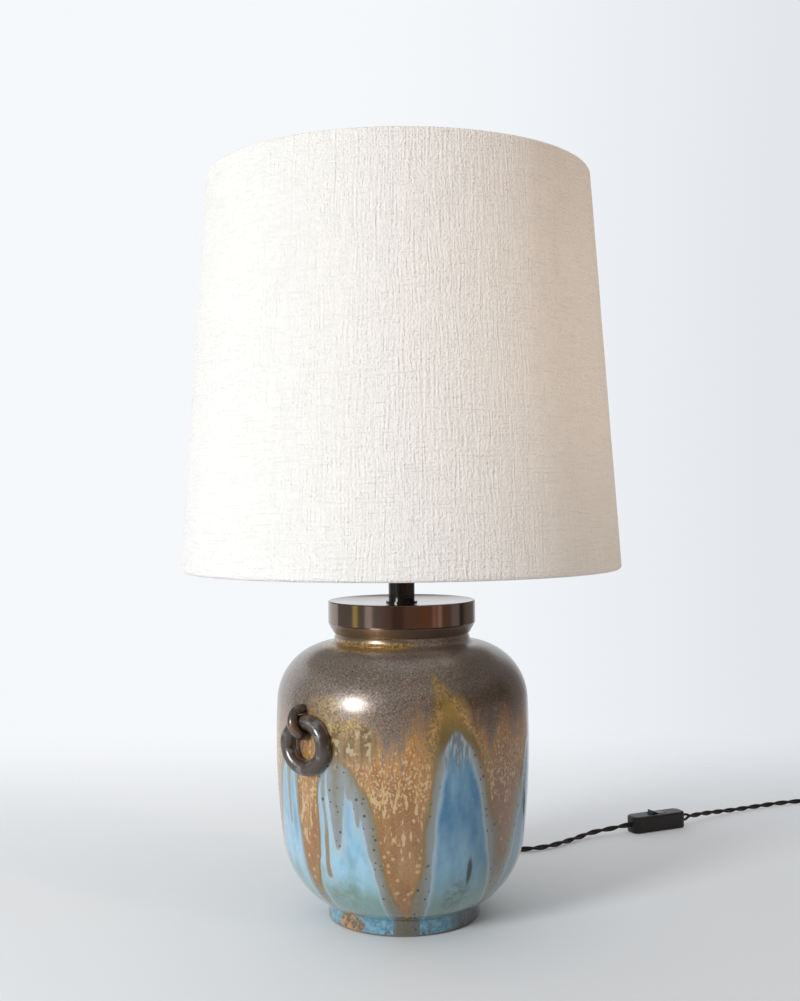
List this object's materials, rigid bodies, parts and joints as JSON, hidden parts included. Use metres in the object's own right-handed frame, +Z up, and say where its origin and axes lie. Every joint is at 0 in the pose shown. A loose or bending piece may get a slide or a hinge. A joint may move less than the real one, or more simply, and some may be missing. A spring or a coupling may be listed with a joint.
{
  "type": "table lamp",
  "caption": "Table lamp: a glazed stoneware jar with ring handles, a polished metal cap and stem, a tapered slub cotton drum shade, a twisted flex with an in-line switch, and a plug.",
  "frame": {"origin": "centre of the underside of the jar's foot ring, on the jar's axis", "axes": "+Z up along the jar's axis, -Y towards the front of the glaze, +X to the right as seen from the front"},
  "size_m": [0.8012, 0.592, 0.6712],
  "materials": {
    "glazed_stoneware": "satin",
    "bronzed_cap": "polished",
    "gasket_rubber": "matte",
    "zinc_steel": "satin",
    "black_enamel": "gloss",
    "holder_plastic": "satin",
    "holder_ceramic": "matte",
    "contact_brass": "satin",
    "bulb_metal": "satin",
    "opal_glass": "satin",
    "slub_cotton": "matte",
    "shade_laminate": "matte",
    "white_wire": "satin",
    "black_plastic": "matte",
    "twisted_flex": "matte",
    "tie_strap": "matte",
    "nickel_pins": "polished"
  },
  "bodies": {
    "base": {"stoneware_jar": "glazed_stoneware", "handle_rings": "glazed_stoneware", "handle_lugs": "glazed_stoneware", "mouth_cap": "bronzed_cap", "cap_gasket": "gasket_rubber", "clamp_bar": "zinc_steel", "clamp_washer": "zinc_steel", "clamp_nut": "zinc_steel", "threaded_tube": "zinc_steel", "stem_washer": "black_enamel", "stem": "black_enamel", "holder_base": "holder_plastic", "holder_insert": "holder_ceramic", "holder_screws": "contact_brass", "holder_contact": "contact_brass", "holder_shell": "contact_brass", "holder_sleeve": "holder_plastic", "shade_ring_nut": "holder_plastic", "bulb_contact": "contact_brass", "bulb_cap": "bulb_metal", "bulb_glass": "opal_glass", "cord_bush": "black_plastic", "bush_nut": "black_plastic", "switch_lower": "black_plastic", "switch_upper": "black_plastic", "switch_screws": "zinc_steel", "switch_terminals": "contact_brass", "flex_inside": "twisted_flex", "flex_lamp_side": "twisted_flex", "flex_floor": "twisted_flex", "flex_coil": "twisted_flex", "coil_tie": "tie_strap", "flex_plug_lead": "twisted_flex", "plug_body": "black_plastic", "plug_pins": "nickel_pins"},
    "shade": {"shade_fabric": "slub_cotton", "shade_liner": "shade_laminate", "shade_top_ring": "white_wire", "shade_frame": "white_wire"},
    "rocker": {"switch_rocker": "black_plastic"}
  },
  "joints": [
    {"name": "shade_turn", "type": "hinge", "parent": "base", "child": "shade", "pos_m": [0, 0, 0.3595], "axis": [0, 0, 1], "continuous": true},
    {"name": "rocker_tip", "type": "hinge", "parent": "base", "child": "rocker", "pos_m": [0.288, 0.2755, 0.015], "axis": [0.4131, -0.9107, 0], "range_deg": [0, 24]}
  ]
}
